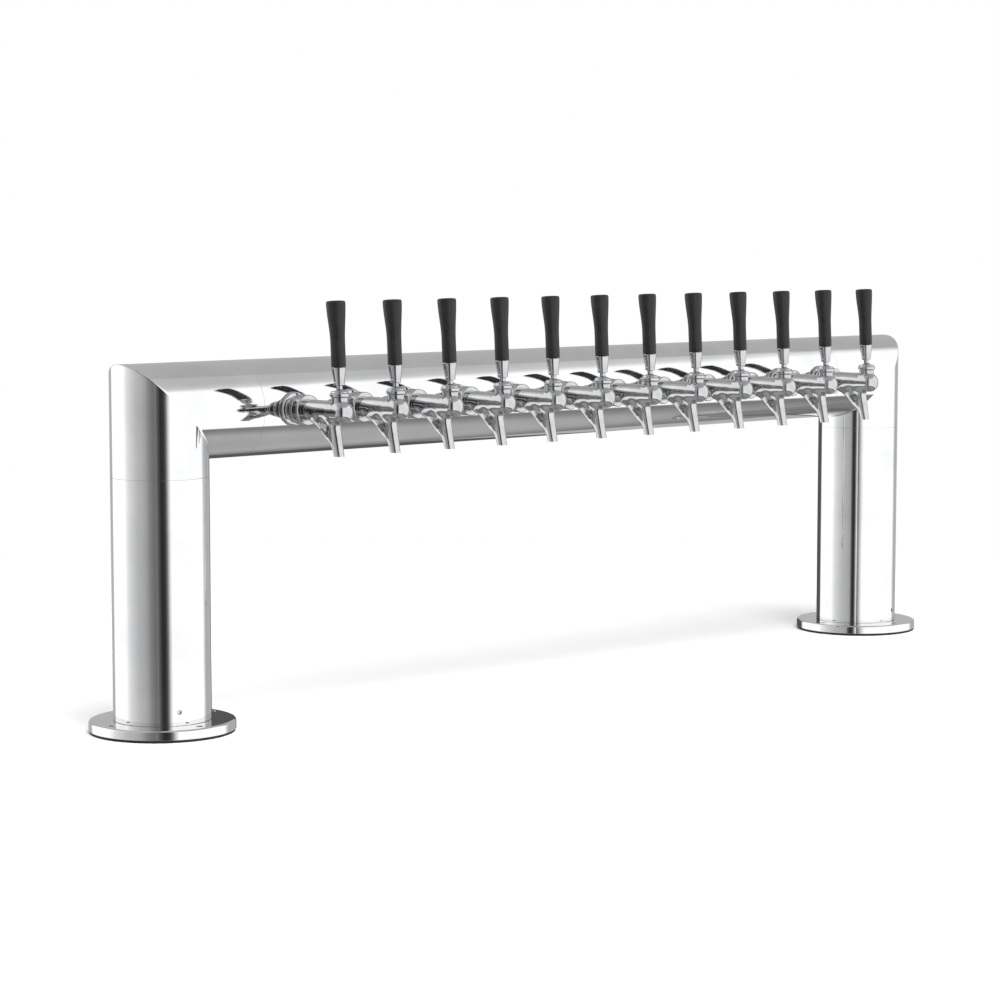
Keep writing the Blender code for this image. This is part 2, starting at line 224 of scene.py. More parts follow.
def block(name, low, high, bevel=0.0):
    """A box between two corners, with its edges rounded by bevel."""
    bm = bmesh.new()
    bmesh.ops.create_cube(bm, size=1)
    size = Vector(high) - Vector(low)
    middle = (Vector(high) + Vector(low)) / 2
    bm.transform(Matrix.Translation(middle * MM) @ Matrix.Diagonal((*(size * MM), 1)))
    if bevel:
        bmesh.ops.bevel(bm, geom=bm.edges, offset=bevel * MM, segments=4, profile=0.5, affect="EDGES")
    mesh = bpy.data.meshes.new(name)
    bm.to_mesh(mesh)
    bm.free()
    mesh.shade_smooth()
    mesh.set_sharp_from_angle(angle=math.radians(35))
    return mesh


def joined(name, meshes):
    """Several meshes in one, each optionally given with a matrix in millimetres."""
    bm = bmesh.new()
    for mesh, matrix in meshes:
        copy = mesh.copy()
        copy.transform(Matrix.Scale(MM, 4) @ matrix @ Matrix.Scale(1 / MM, 4))
        bm.from_mesh(copy)
        bpy.data.meshes.remove(copy)
    whole = bpy.data.meshes.new(name)
    bm.to_mesh(whole)
    bm.free()
    return whole


def combined(name, base, steps):
    """The mesh of base after a run of ("UNION" or "DIFFERENCE", mesh) steps."""
    host = bpy.data.objects.new(name + "_host", base)
    helpers = [host]
    for operation, mesh in steps:
        tool = bpy.data.objects.new(name + "_tool", mesh)
        helpers.append(tool)
        step = host.modifiers.new(operation, "BOOLEAN")
        step.operation = operation
        step.solver = "EXACT"
        step.object = tool
    for helper in helpers:
        bpy.context.scene.collection.objects.link(helper)
    bpy.context.view_layer.update()
    graph = bpy.context.evaluated_depsgraph_get()
    mesh = bpy.data.meshes.new_from_object(host.evaluated_get(graph))
    mesh.name = name
    for helper in helpers:
        bpy.data.objects.remove(helper)
    mesh.shade_smooth()
    mesh.set_sharp_from_angle(angle=math.radians(35))
    return mesh


def true_round(mesh, point, axis, radius):
    """Gives the outside of a tube the normals of a true cylinder, however its faces were cut."""
    point, axis = Vector(point) * MM, Vector(axis)
    normals = [Vector(corner.vector) for corner in mesh.corner_normals]
    for face in mesh.polygons:
        for loop in face.loop_indices:
            offset = mesh.vertices[mesh.loops[loop].vertex_index].co - point
            offset -= axis * offset.dot(axis)
            if abs(offset.length - radius * MM) < 0.02 * MM and face.normal.dot(offset.normalized()) > 0.98:
                normals[loop] = offset.normalized()
    mesh.normals_split_custom_set(normals)
    return mesh


def place(name, mesh, finish, body="tower", stands_for=(), at=(0, 0, 0), lean=0.0):
    """One visible piece, at a place in millimetres, riding on a CAD body."""
    if not mesh.materials:
        mesh.materials.append(finish)
    piece = bpy.data.objects.new(name, mesh)
    bpy.context.scene.collection.objects.link(piece)
    piece.location = Vector(at) * MM
    piece.rotation_euler = (lean, 0, 0)
    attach(piece, body)
    if stands_for:
        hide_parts(*stands_for)
    return piece


# ---- Materials --------------------------------------------------------------------------------


class Nodes:
    """A small helper that adds shader nodes and links them in one call."""

    def __init__(self, tree):
        self.tree = tree

    def add(self, kind, inputs=(), **settings):
        node = self.tree.nodes.new(kind)
        for key, value in settings.items():
            setattr(node, key, value)
        for key, value in dict(inputs).items():
            if isinstance(value, bpy.types.NodeSocket):
                self.tree.links.new(value, node.inputs[key])
            else:
                node.inputs[key].default_value = value
        return node

    def math(self, operation, *values):
        return self.add("ShaderNodeMath", dict(enumerate(values)), operation=operation).outputs[0]

    def ramp(self, value, stops):
        """A colour ramp from (position, grey level) stops."""
        node = self.add("ShaderNodeValToRGB", {0: value})
        ends = node.color_ramp.elements
        while len(ends) < len(stops):
            ends.new(1.0)
        for element, (position, level) in zip(ends, stops):
            element.position = position
            element.color = (level, level, level, 1)
        return node.outputs["Color"]

    def noise(self, scale, detail=3.0, stretch=(1, 1, 1), roughness=0.5):
        where = self.add("ShaderNodeTexCoord").outputs["Object"]
        spread = self.add("ShaderNodeMapping", {"Vector": where, "Scale": stretch}).outputs[0]
        inputs = {"Vector": spread, "Scale": scale, "Detail": detail, "Roughness": roughness}
        return self.add("ShaderNodeTexNoise", inputs).outputs["Fac"]

    def spread(self, value, low, high, from_low=0.3, from_high=0.7):
        inputs = {"Value": value, "From Min": from_low, "From Max": from_high, "To Min": low, "To Max": high}
        return self.add("ShaderNodeMapRange", inputs).outputs["Result"]

    def bump(self, height, strength, distance, before=None):
        inputs = {"Height": height, "Strength": strength, "Distance": distance}
        if before:
            inputs["Normal"] = before
        return self.add("ShaderNodeBump", inputs).outputs["Normal"]

    def tint(self, value, dark, light):
        """A mix from one colour to another by value."""
        node = self.add("ShaderNodeMix", {"Factor": value}, data_type="RGBA")
        node.inputs["A"].default_value = (*dark, 1)
        node.inputs["B"].default_value = (*light, 1)
        return node.outputs["Result"]


def new_material(name, slot, **fixed):
    """A Principled material and its node helper."""
    material = bpy.data.materials.new(name)
    material.use_nodes = True
    material["slot"] = slot
    shader = material.node_tree.nodes["Principled BSDF"]
    for key, value in fixed.items():
        shader.inputs[key.replace("_", " ")].default_value = value
    return material, Nodes(material.node_tree), shader


def connect(nodes, shader, **sockets):
    """Links sockets to the shader's inputs, named with _ for each space."""
    for key, socket in sockets.items():
        nodes.tree.links.new(socket, shader.inputs[key.replace("_", " ")])


def polished_steel(name, along):
    """Mirror-polished tube: faint waves in the wall, hairline polishing marks and handling smudges."""
    material, nodes, shader = new_material(name, "polished_stainless", Metallic=1.0)
    hairline = tuple(2.0 if axis == along else 160.0 for axis in "XYZ")
    wave = nodes.noise(7.0, 1.0)
    lines = nodes.noise(6.0, 4.0, hairline)
    smudge = nodes.noise(16.0, 5.0, roughness=0.6)
    colour = nodes.tint(nodes.spread(smudge, 0, 1), (0.70, 0.705, 0.715), (0.80, 0.80, 0.80))
    haze = nodes.math("ADD", nodes.spread(smudge, 0.018, 0.06), nodes.spread(lines, 0.0, 0.03))
    normal = nodes.bump(wave, 0.035, 0.004)
    normal = nodes.bump(lines, 0.03, 0.0002, normal)
    connect(nodes, shader, Base_Color=colour, Roughness=haze, Normal=normal)
    return material


def chrome_plate():
    """Bright plated castings, slightly orange-peeled, with water spots."""
    material, nodes, shader = new_material("chrome_plate", "chrome_plate", Metallic=1.0)
    peel = nodes.noise(420.0, 2.0)
    spots = nodes.noise(90.0, 6.0, roughness=0.65)
    colour = nodes.tint(nodes.spread(spots, 0, 1), (0.46, 0.465, 0.475), (0.60, 0.60, 0.605))
    haze = nodes.spread(spots, 0.06, 0.15, 0.35, 0.75)
    connect(nodes, shader, Base_Color=colour, Roughness=haze, Normal=nodes.bump(peel, 0.05, 0.0002))
    return material


def machined_steel():
    """Bare turned steel: fine feed marks and a dull, even sheen."""
    material, nodes, shader = new_material("machined_stainless", "machined_stainless", Metallic=1.0)
    marks = nodes.noise(40.0, 4.0, (1, 60, 1))
    stain = nodes.noise(30.0, 4.0)
    colour = nodes.tint(nodes.spread(stain, 0, 1), (0.34, 0.34, 0.35), (0.50, 0.50, 0.49))
    connect(
        nodes,
        shader,
        Base_Color=colour,
        Roughness=nodes.spread(marks, 0.22, 0.42),
        Normal=nodes.bump(marks, 0.15, 0.0003),
    )
    return material


def handle_plastic():
    """Satin black moulded plastic with a fine spark-eroded texture and polished wear in patches."""
    material, nodes, shader = new_material("black_plastic", "black_plastic", Metallic=0.0)
    grain = nodes.noise(1500.0, 2.0)
    wear = nodes.noise(45.0, 5.0, roughness=0.6)
    colour = nodes.tint(nodes.spread(wear, 0, 1), (0.006, 0.006, 0.0065), (0.014, 0.014, 0.0145))
    shader.inputs["Specular IOR Level"].default_value = 0.36
    connect(
        nodes,
        shader,
        Base_Color=colour,
        Roughness=nodes.spread(wear, 0.34, 0.50),
        Normal=nodes.bump(grain, 0.12, 0.0002),
    )
    return material


def gasket_rubber():
    """Matt black sheet rubber with dust in its pores."""
    material, nodes, shader = new_material("black_rubber", "black_rubber", Metallic=0.0)
    pores = nodes.noise(900.0, 3.0)
    dust = nodes.noise(60.0, 6.0, roughness=0.7)
    colour = nodes.tint(nodes.spread(dust, 0, 1, 0.45, 0.8), (0.013, 0.013, 0.013), (0.045, 0.044, 0.042))
    connect(
        nodes,
        shader,
        Base_Color=colour,
        Roughness=nodes.spread(dust, 0.72, 0.92),
        Normal=nodes.bump(pores, 0.3, 0.0003),
    )
    return material


def foam_jacket():
    """Closed-cell insulation foam under wrapped tape."""
    material, nodes, shader = new_material("foam_jacket", "foam_jacket", Metallic=0.0)
    cells = nodes.add(
        "ShaderNodeTexVoronoi",
        {"Vector": nodes.add("ShaderNodeTexCoord").outputs["Object"], "Scale": 700.0},
    ).outputs["Distance"]
    fade = nodes.noise(25.0, 4.0)
    colour = nodes.tint(nodes.spread(fade, 0, 1), (0.035, 0.035, 0.038), (0.075, 0.075, 0.08))
    connect(
        nodes,
        shader,
        Base_Color=colour,
        Roughness=nodes.spread(cells, 0.8, 0.98, 0.0, 0.6),
        Normal=nodes.bump(cells, 0.5, 0.0004),
    )
    return material


# ---- Tower pieces -----------------------------------------------------------------------------


def crossbar(finish, tap_xs):
    """The level tube, drilled through its front for the shanks, with broken edges at both ends."""
    hole_r, hole_steps = 11.8, 48
    half = SIZES["bar_half"]
    outline = [(-half, TUBE_R, EDGE), (half, TUBE_R, EDGE), (half, BORE_R, EDGE), (-half, BORE_R, EDGE)]
    centre = Matrix.Translation((0, BAR_Y, BAR_Z))
    tube = joined("bar_tube", [(turned("bar_turned", outline, TUBE_STEPS, "X", True), centre)])
    drill = turned("bar_drill", rod_outline(-TUBE_R - DRILL_ROOM, -BORE_R / 2, hole_r), hole_steps, "Y")
    drills = joined("bar_drills", [(drill, Matrix.Translation((x, BAR_Y, BAR_Z))) for x in tap_xs])
    mesh = combined("crossbar_shell", tube, [("DIFFERENCE", drills)])
    true_round(mesh, (0, BAR_Y, BAR_Z), (1, 0, 0), TUBE_R)
    place("crossbar_shell", mesh, finish, stands_for=["crossbar_tube"])


def elbow(side_name, side, finish):
    """The mitred corner, its weld dressed to a small radius, with a spigot on each leg."""
    soft, spigot_wall = 1.4, 2.0
    spigot_r = BORE_R - GAP
    inner_r = spigot_r - spigot_wall
    upright_leg = BAR_Z - SIZES["seam_z"] - SEAM_GAP
    level_leg = COLUMN_X - SIZES["bar_half"] - SEAM_GAP
    spigot = SIZES["seam_z"] - SIZES["spigot_end"]

    def leg(way, length):
        rings = [(way, length - EDGE - HOLD, TUBE_R), (way, length - EDGE, TUBE_R)]
        rings += [(way, length, TUBE_R - EDGE), (way, length, spigot_r)]
        return rings + [(way, length + spigot, spigot_r), (way, length + spigot, inner_r)]

    bends = [("bend", math.pi / 2 * k / ARC_STEPS, TUBE_R) for k in range(ARC_STEPS + 1)]
    outside = [("near_upright", HOLD, TUBE_R)] + bends + [("near_level", HOLD, TUBE_R)]
    sections = leg("upright", upright_leg)[::-1] + outside + leg("level", level_leg)
    sections.append(("bend", None, inner_r))

    def point(way, along, radius, turn):
        """A point (inward, back, up) from the corner of the two axes, on a ring of one section."""
        across, depth = radius * math.cos(turn), radius * math.sin(turn)
        beside = across + soft + HOLD
        inward = {"upright": across, "level": along, "near_upright": across, "near_level": beside}
        down = {"upright": along, "level": across, "near_upright": beside, "near_level": across}
        if way != "bend":
            return inward[way], depth, -down[way]
        if along is None:
            return across, depth, -across
        return across + soft * (1 - math.cos(along)), depth, -across - soft * (1 - math.sin(along))

    points, faces = [], []
    for way, along, radius in sections:
        for k in range(TUBE_STEPS):
            inward, depth, up = point(way, along, radius, 2 * math.pi * k / TUBE_STEPS)
            points.append((side * (COLUMN_X - inward), BAR_Y + depth, BAR_Z + up))
    for ring in range(len(sections)):
        after = (ring + 1) % len(sections)
        for k in range(TUBE_STEPS):
            n = (k + 1) % TUBE_STEPS
            corners = [(ring, k), (ring, n), (after, n), (after, k)]
            faces.append([row * TUBE_STEPS + column for row, column in corners])
    name = f"{side_name}_elbow"
    place(f"{name}_shell", mesh_of(name, points, faces), finish, stands_for=[name])


def column(side_name, side, finish, screw_finish):
    """The upright tube with its set screw, which locks it to the flange's collar."""
    hole_r, screw_r, socket_r, socket_depth = 2.5, 2.3, 1.5, 2.4
    screw_angle, screw_rise = math.radians(16.0), 14.0
    foot, top = SIZES["column_foot"], SIZES["seam_z"]
    outline = [(foot, TUBE_R, EDGE), (top, TUBE_R, EDGE), (top, BORE_R, EDGE), (foot, BORE_R, EDGE)]
    centre = Matrix.Translation((side * COLUMN_X, BAR_Y, 0))
    tube = joined("column_tube", [(turned("column_turned", outline, TUBE_STEPS, "Z", True), centre)])
    face = Matrix.Rotation(side * screw_angle, 4, "Z") @ Matrix.Translation((0, -TUBE_R, 0))
    seat = Matrix.Translation((side * COLUMN_X, BAR_Y, FLANGE_TOP + screw_rise)) @ face
    drill = turned("screw_drill", rod_outline(-DRILL_ROOM, DRILL_ROOM, hole_r), SMALL_STEPS, "Y")
    name = f"{side_name}_column_shell"
    mesh = combined(name, tube, [("DIFFERENCE", joined("screw_hole", [(drill, seat)]))])
    true_round(mesh, (side * COLUMN_X, BAR_Y, 0), (0, 0, 1), TUBE_R)
    place(name, mesh, finish, stands_for=[f"{side_name}_column"])

    outline = [(0.5, 0), (0.5, screw_r, 0.4), (6.0, screw_r, 0.5), (6.0, 0)]
    screw = turned("screw_blank", outline, SMALL_STEPS, "Y")
    socket = turned("screw_socket", rod_outline(-1, socket_depth, socket_r), 6, "Y")
    screw = combined("set_screw", screw, [("DIFFERENCE", socket)])
    place(f"{side_name}_set_screw", joined("set_screw_placed", [(screw, seat)]), screw_finish)


def mount_drill():
    """One mounting hole with its broken upper edge."""
    hole_r, chamfer = 3.5, 0.7
    top = FLANGE_TOP
    outline = [(-DRILL_ROOM, 0), (-DRILL_ROOM, hole_r), (top - chamfer, hole_r)]
    outline += [(top, hole_r + chamfer), (top + DRILL_ROOM, hole_r + chamfer), (top + DRILL_ROOM, 0)]
    return turned("mount_drill", outline, SMALL_STEPS)


def mount_drills(centre):
    """The four mounting holes of one foot, a quarter turn apart."""
    circle_r = 64.0
    drill = mount_drill()
    turns = [Matrix.Rotation(math.pi / 2 * k, 4, "Z") for k in range(4)]
    outwards = Matrix.Translation((circle_r, 0, 0))
    return joined("mount_drills", [(drill, centre @ turn @ outwards) for turn in turns])


def foot(side_name, side, finish, rubber):
    """The base flange with its rounded rim and inner collar, and the gasket that it stands on."""
    opening_r, collar_wall, throat, rim, edge = 38.0, 3.2, 2.0, 3.2, 0.4
    collar_r = BORE_R - GAP
    low, top, flange_r = SIZES["flange_low"], FLANGE_TOP, SIZES["flange_r"]
    centre = Matrix.Translation((side * COLUMN_X, BAR_Y, 0))
    outline = [
        (low, flange_r, edge),
        (top, flange_r, rim),
        (top, collar_r, 0),
        (SIZES["collar_top"], collar_r, edge),
        (SIZES["collar_top"], collar_r - collar_wall, edge),
        (top, collar_r - collar_wall, edge),
        (top - throat, opening_r, edge),
        (low, opening_r, edge),
    ]
    plate = joined("flange_plate", [(turned("flange_turned", outline, TUBE_STEPS, "Z", True), centre)])
    mesh = combined(f"{side_name}_flange", plate, [("DIFFERENCE", mount_drills(centre))])
    place(f"{side_name}_flange_plate", mesh, finish, stands_for=[f"{side_name}_base_flange"])

    gasket_r, gasket_top = SIZES["gasket_r"], SIZES["gasket_top"]
    outline = [(0, gasket_r, edge), (gasket_top, gasket_r, edge)]
    outline += [(gasket_top, opening_r, edge), (0, opening_r, edge)]
    ring = joined("gasket_ring", [(turned("gasket_turned", outline, TUBE_STEPS, "Z", True), centre)])
    mesh = combined(f"{side_name}_gasket_sheet", ring, [("DIFFERENCE", mount_drills(centre))])
    place(f"{side_name}_gasket_sheet", mesh, rubber, stands_for=[f"{side_name}_gasket"])


def line_trunk(side_name, side, finish):
    """The insulated line bundle, wrapped in overlapping tape, up a column and along the bar."""
    radius, bend, behind, gap, lap, lift = 18.2, 46.0, 17.0, 8.0, 38.0, 0.8
    step, around = 4.0, 48
    corner_z = BAR_Z - bend
    straight = corner_z - SIZES["flange_low"]
    curve = bend * math.pi / 2
    total = straight + curve + COLUMN_X - bend - gap

    def centre(travel):
        """The place (inward, z) and the direction of the path after some travel."""
        if travel < straight:
            return 0.0, SIZES["flange_low"] + travel, 0.0, 1.0
        if travel < straight + curve:
            turn = (travel - straight) / bend
            level, rise = math.sin(turn), math.cos(turn)
            return bend * (1 - rise), corner_z + bend * level, level, rise
        return bend + travel - straight - curve, BAR_Z, 1.0, 0.0

    count = int(total / step)
    points, faces = [], []
    for ring in range(count + 1):
        travel = total * ring / count
        inward, z, go_in, go_up = centre(travel)
        for k in range(around):
            turn = 2 * math.pi * k / around
            wrap = (travel / lap + k / around) % 1.0
            reach = radius + lift * wrap**3
            across, depth = reach * math.cos(turn), reach * math.sin(turn)
            x = inward - go_up * across
            points.append((side * (COLUMN_X - x), BAR_Y + behind + depth, z + go_in * across))
    for ring in range(count):
        for k in range(around):
            n = (k + 1) % around
            low, high = ring * around, (ring + 1) * around
            faces.append([low + k, low + n, high + n, high + k])
    faces.append(list(range(around)))
    faces.append([count * around + k for k in range(around)])
    name = f"{side_name}_line_trunk"
    place(f"{name}_jacket", mesh_of(name, points, faces), finish, stands_for=[name])


def cooling_rail(finish, tap_xs):
    """The cold block inside the bar that the shanks pass through."""
    front, back, half, past = TAP_REACH - 31.0, TAP_REACH - 14.0, 12.0, 16.0
    hole_r = 7.3
    tap_y = BAR_Y - TAP_REACH
    rail = block("rail_block", (tap_xs[0] - past, tap_y + front, BAR_Z - half),
                 (tap_xs[-1] + past, tap_y + back, BAR_Z + half), 1.2)
    drill = turned("rail_drill", rod_outline(front - 3, back + 3, hole_r), SMALL_STEPS, "Y")
    drills = joined("rail_drills", [(drill, Matrix.Translation((x, tap_y, BAR_Z))) for x in tap_xs])
    mesh = combined("cooling_rail", rail, [("DIFFERENCE", drills)])
    place("cooling_rail", mesh, finish, stands_for=["shank_rail"])


# ---- Tap pieces -------------------------------------------------------------------------------


def outline_distance(along, radius, outline):
    """Signed distance of points in the (along, radius) plane to a turned outline, negative inside."""
    half = np.array(outline, float)
    start = np.concatenate([half, half[::-1] * (1, -1)])
    stop = np.roll(start, -1, axis=0)
    edge = stop - start
    here = np.stack([along, radius], axis=1)[:, None, :]
    share = ((here - start) * edge).sum(2) / np.maximum((edge**2).sum(1), 1e-12)
    nearest = start + np.clip(share, 0, 1)[:, :, None] * edge
    distance = np.sqrt(((here - nearest) ** 2).sum(2)).min(1)
    level = here[:, :, 1]
    spans = (start[:, 1] > level) != (stop[:, 1] > level)
    rise = np.where(np.abs(edge[:, 1]) < 1e-12, 1e-12, edge[:, 1])
    crossing = start[:, 0] + (level - start[:, 1]) / rise * edge[:, 0]
    inside = (spans & (here[:, :, 0] < crossing)).sum(1) % 2 == 1
    return np.where(inside, -distance, distance)


def blended(first, second, width):
    """The smooth union of two distance fields, with a fillet about width wide."""
    mix = np.clip(0.5 + 0.5 * (second - first) / width, 0, 1)
    return second * (1 - mix) + first * mix - width * mix * (1 - mix)


BARREL_R, BARREL_END = 11.4, NUT_FRONT + 4
BOSS_R, BOSS_END = 8.9, 20.0

# The neck and the spout: root (back, up) on the barrel, lean, (along, radius) outline, and fillet.
BRANCHES = [
    ((33.0, -6.0), math.radians(41.5), [(0, 7.6), (26, 5.4), (38, 2.6)], 8.0),
    (SPOUT_ROOT, SPOUT_LEAN, [(0, 6.6), (24, 6.4), (40, 5.7), (56, 5.3)], 6.0),
]


def casting_field(points):
    """Distance to the outside of the tap's casting: barrel, bonnet boss, neck and spout."""
    dome, dome_steps, boss_fillet = 9.0, 12, 2.4
    x, y, z = points.T
    turns = [math.pi / 2 * k / dome_steps for k in range(dome_steps + 1)]
    nose = [(dome * (1 - math.cos(t)) - TAP_NOSE, BARREL_R * math.sin(t)) for t in turns]
    field = outline_distance(y, np.hypot(x, z), nose + [(BARREL_END, BARREL_R), (BARREL_END, 0)])
    boss = outline_distance(z, np.hypot(x, y), rod_outline(0, BOSS_END, BOSS_R))
    field = blended(field, boss, boss_fillet)
    for root, lean, cone, fillet in BRANCHES:
        back, up = y - root[0], z - root[1]
        along = -up * math.cos(lean) - back * math.sin(lean)
        off = back * math.cos(lean) - up * math.sin(lean)
        branch = outline_distance(along, np.hypot(x, off), [(0, 0), *cone, (cone[-1][0], 0)])
        field = blended(field, branch, fillet)
    return field


def casting_blank():
    """The casting's outside: rough solids melted together, then drawn onto the exact field."""
    voxel, rounds, nudge = 0.8, 5, 0.05
    outline = [(-14, 0), (-13, 7), (-8, BARREL_R), (BARREL_END, BARREL_R), (BARREL_END, 0)]
    barrel = turned("rough_barrel", outline, TAP_STEPS, "Y")
    boss = turned("rough_boss", rod_outline(0, BOSS_END, BOSS_R), TAP_STEPS)
    here = Matrix.Identity(4)
    parts = [(barrel, here), (boss, here)]
    for root, lean, cone, _ in BRANCHES:
        outline = [(0, 0)] + [(-along, radius) for along, radius in cone] + [(-cone[-1][0], 0)]
        slant = Matrix.Translation((0, *root)) @ Matrix.Rotation(-lean, 4, "X")
        parts.append((turned("rough_branch", outline, TAP_STEPS), slant))
    rough = bpy.data.objects.new("rough_casting", joined("rough_casting", parts))
    bpy.context.scene.collection.objects.link(rough)
    melt = rough.modifiers.new("melt", "REMESH")
    melt.mode = "VOXEL"
    melt.voxel_size = voxel * MM
    bpy.context.view_layer.update()
    graph = bpy.context.evaluated_depsgraph_get()
    mesh = bpy.data.meshes.new_from_object(rough.evaluated_get(graph))
    bpy.data.objects.remove(rough)
    points = np.empty(len(mesh.vertices) * 3, np.float32)
    mesh.vertices.foreach_get("co", points)
    points = points.reshape(-1, 3).astype(float) / MM
    for _ in range(rounds):
        level = casting_field(points)
        steps = nudge * np.eye(3)
        slope = [casting_field(points + step) - casting_field(points - step) for step in steps]
        slope = np.stack(slope, axis=1)
        slope /= np.maximum(np.linalg.norm(slope, axis=1, keepdims=True), 1e-9)
        points -= slope * level[:, None]
    mesh.vertices.foreach_set("co", (points * MM).astype(np.float32).ravel())
    mesh.update()
    mesh.shade_smooth()
    return mesh


def slot_cutter(name, front, back, half_width, low, high):
    """A cutter with a round-ended plan, long in Y, for the lever's slots."""
    points = []
    for end, start in ((back - half_width, 0), (front + half_width, math.pi)):
        for k in range(SMALL_STEPS // 2 + 1):
            turn = start + math.pi * k / (SMALL_STEPS // 2)
            points.append((half_width * math.cos(turn), end + half_width * math.sin(turn)))
    count = len(points)
    corners = [(x, y, z) for z in (low, high) for x, y in points]
    faces = [list(range(count)), [count + k for k in range(count)]]
    for k in range(count):
        n = (k + 1) % count
        faces.append([k, n, count + n, count + k])
    return mesh_of(name, corners, faces)


def tap_casting():
    """The chrome body: cut flat at its tail and spout tip, bored for the shaft, the lever and the beer."""
    shoulder, tail_r, boss_top, wide = NUT_FRONT - 1.0, 10.5, 15.2, 40.0
    bore_front, seat_front, seat_back = -7.8, SEAT_BACK - 1.6, SEAT_BACK
    bore_r, seat_r, chamber_r, beer_r, pocket_r = 6.6, 4.8, 8.0, 4.0, 7.7
    outline = [(shoulder - 4, 0), (shoulder - 4, tail_r), (TAIL_END, tail_r, 0.5), (TAIL_END, 0)]
    tail = turned("tail", outline, TAP_STEPS, "Y")
    bore = [
        (bore_front, 0),
        (bore_front, bore_r),
        (seat_front, bore_r),
        (seat_front, seat_r),
        (seat_back, seat_r),
        (seat_back, chamber_r),
        (TAIL_END + DRILL_ROOM, chamber_r),
        (TAIL_END + DRILL_ROOM, 0),
    ]
    slant = Matrix.Translation((0, *SPOUT_ROOT)) @ Matrix.Rotation(-SPOUT_LEAN, 4, "X")
    beer = turned("beer_bore", rod_outline(-60, -2, beer_r), SMALL_STEPS)
    pocket = turned("pocket", arc(0, pocket_r, 0, 180), TAP_STEPS)
    cuts = [
        block("behind", (-wide, shoulder, -wide), (wide, wide, wide)),
        block("above_boss", (-wide, -wide, boss_top), (wide, wide, wide)),
        block("below_spout", (-wide, -wide, -2 * wide), (wide, wide, -SPOUT_DROP)),
    ]
    steps = [("DIFFERENCE", cut) for cut in cuts] + [("UNION", tail)]
    steps += [
        ("DIFFERENCE", turned("bore", bore, TAP_STEPS, "Y")),
        ("DIFFERENCE", joined("beer", [(beer, slant)])),
        ("DIFFERENCE", joined("pocket_placed", [(pocket, Matrix.Translation((0, 0, PIVOT_RISE)))])),
        ("DIFFERENCE", slot_cutter("arm_slot", -3.4, 12.4, 2.7, 4.4, boss_top + 1)),
    ]
    return combined("tap_casting", casting_blank(), steps)


def bonnet():
    """The ringed cap over the lever's ball, slotted towards the front for the pull."""
    foot, top, pocket_r = 15.5, 22.0, 7.7
    outline = [
        (foot, pocket_r - 0.2, 0.2),
        (foot, 9.3, 0.5),
        (foot + 1.0, 10.6, 0.6),
        (19.2, 10.6, 0.7),
        (20.0, 9.5, 0.4),
        (top, 8.6, 0.9),
        (top, 5.4, 0.4),
        (20.0, 7.2, 0.5),
    ]
    ring = turned("bonnet_ring", outline, TAP_STEPS, "Z", True)
    mouth = slot_cutter("mouth", -7.6, 4.4, 3.9, PIVOT_RISE + 1, top + 4)
    return combined("bonnet", ring, [("DIFFERENCE", mouth)])


def coupling_nut():
    """The ring that draws the tap onto its shank: two rolled bands and six spanner holes."""
    bore_r, outer_r, waist_r, hole_r, hole_depth, holes = 11.3, 16.0, 15.3, 2.3, 2.8, 6
    middle = (NUT_FRONT + NUT_BACK) / 2
    outline = [
        (NUT_FRONT, bore_r, 0.3),
        (NUT_FRONT, outer_r, 1.6),
        (middle - 3.6, outer_r, 0.4),
        (middle - 3.0, waist_r, 0.4),
        (middle + 3.0, waist_r, 0.4),
        (middle + 3.6, outer_r, 0.4),
        (NUT_BACK, outer_r, 1.6),
        (NUT_BACK, bore_r, 0.3),
    ]
    ring = turned("nut_ring", outline, TAP_STEPS, "Y", True)
    drill = turned("spanner_drill", rod_outline(outer_r - hole_depth, outer_r + 2, hole_r), SMALL_STEPS)
    centre = Matrix.Translation((0, middle, 0))
    spots = [centre @ Matrix.Rotation(math.tau * k / holes, 4, "Y") for k in range(holes)]
    drills = joined("spanner_drills", [(drill, spot) for spot in spots])
    return combined("coupling_nut", ring, [("DIFFERENCE", drills)])


def threaded_shank():
    """The bored shank with a rolled thread, from the tap's tail to the lock nut, then a plain pipe."""
    pitch, major_r, minor_r, pipe_r, bore_r = 1.8, 10.6, 9.55, 7.0, 3.6
    start, end, per_pitch, run_out = TAIL_END + GAP, TAP_REACH - TUBE_R + 14.0, 6, 2.4
    pipe_end = TAP_REACH - 6.0
    socket_r, socket_depth = 8.0, 7.0
    count = int((end - start) / pitch * per_pitch)
    rows = []
    for row in range(count + 1):
        along = start + (end - start) * row / count
        fade = min(1.0, (along - start) / run_out, (end - along) / run_out)
        ring = []
        for k in range(TAP_STEPS):
            phase = (along / pitch - k / TAP_STEPS) % 1.0
            flank = min(1.0, max(0.0, 1.6 * abs(2 * phase - 1) - 0.3))
            ring.append((along, minor_r + (major_r - minor_r) * flank * fade))
        rows.append(ring)
    pipe = [(end + 0.4, pipe_r), (pipe_end, pipe_r), (pipe_end, bore_r)]
    socket = [(start + socket_depth, bore_r), (start + socket_depth, socket_r), (start, socket_r)]
    for along, radius in pipe + socket:
        rows.append([(along, radius)] * TAP_STEPS)
    points = []
    for ring in rows:
        for k, (along, radius) in enumerate(ring):
            turn = 2 * math.pi * k / TAP_STEPS
            points.append((radius * math.cos(turn), along, radius * math.sin(turn)))
    faces = []
    for row in range(len(rows)):
        near, far = row * TAP_STEPS, (row + 1) % len(rows) * TAP_STEPS
        for k in range(TAP_STEPS):
            n = (k + 1) % TAP_STEPS
            faces.append([near + k, near + n, far + n, far + k])
    return mesh_of("threaded_shank", points, faces, 50)


